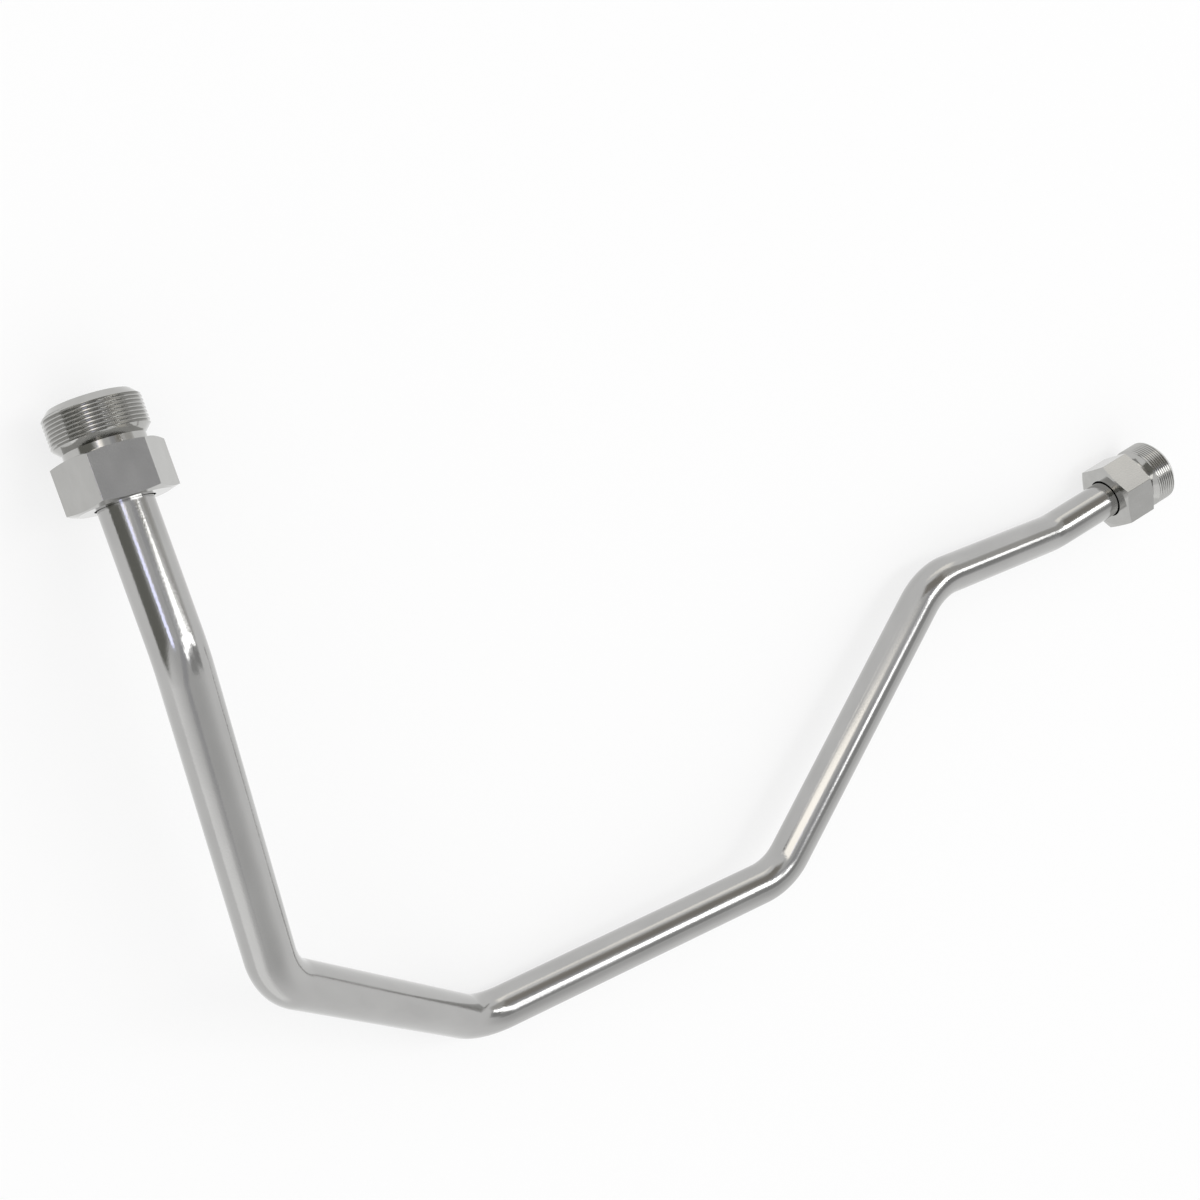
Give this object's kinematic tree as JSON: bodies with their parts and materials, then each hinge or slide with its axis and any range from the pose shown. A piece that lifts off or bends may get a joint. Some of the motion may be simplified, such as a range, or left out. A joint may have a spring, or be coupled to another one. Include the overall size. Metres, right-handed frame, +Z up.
{
  "type": "oil line",
  "caption": "Bent steel engine oil line with a loose male union screw held on each tube end by a brazed sealing nipple.",
  "frame": {"origin": "middle of the footprint, on the surface the line lies on", "axes": "+X from the left end to the right end, +Z up, with the line lying on both screws and the outside of its third bend"},
  "size_m": [0.6856, 0.3393, 0.0705],
  "materials": {
    "drawn_tube_steel": "bright drawn steel, smooth, with fine lengthwise drawing marks",
    "turned_screw_steel": "turned bright steel, satin flats on the hexagon",
    "nipple_steel": "turned bright steel"
  },
  "bodies": {
    "line": {"tube": "drawn_tube_steel", "left_sealing_nipple": "nipple_steel", "right_sealing_nipple": "nipple_steel"},
    "left_screw": {"left_union_screw": "turned_screw_steel"},
    "right_screw": {"right_union_screw": "turned_screw_steel"}
  },
  "joints": [
    {"name": "left_screw_spin", "type": "hinge", "parent": "line", "child": "left_screw", "pos_m": [-0.31633, 0.10749, 0.02886], "axis": [-0.3065, 0.8502, -0.428], "continuous": true},
    {"name": "right_screw_spin", "type": "hinge", "parent": "line", "child": "right_screw", "pos_m": [0.30876, 0.13879, 0.02018], "axis": [0.823, 0.5535, 0.1276], "continuous": true}
  ]
}
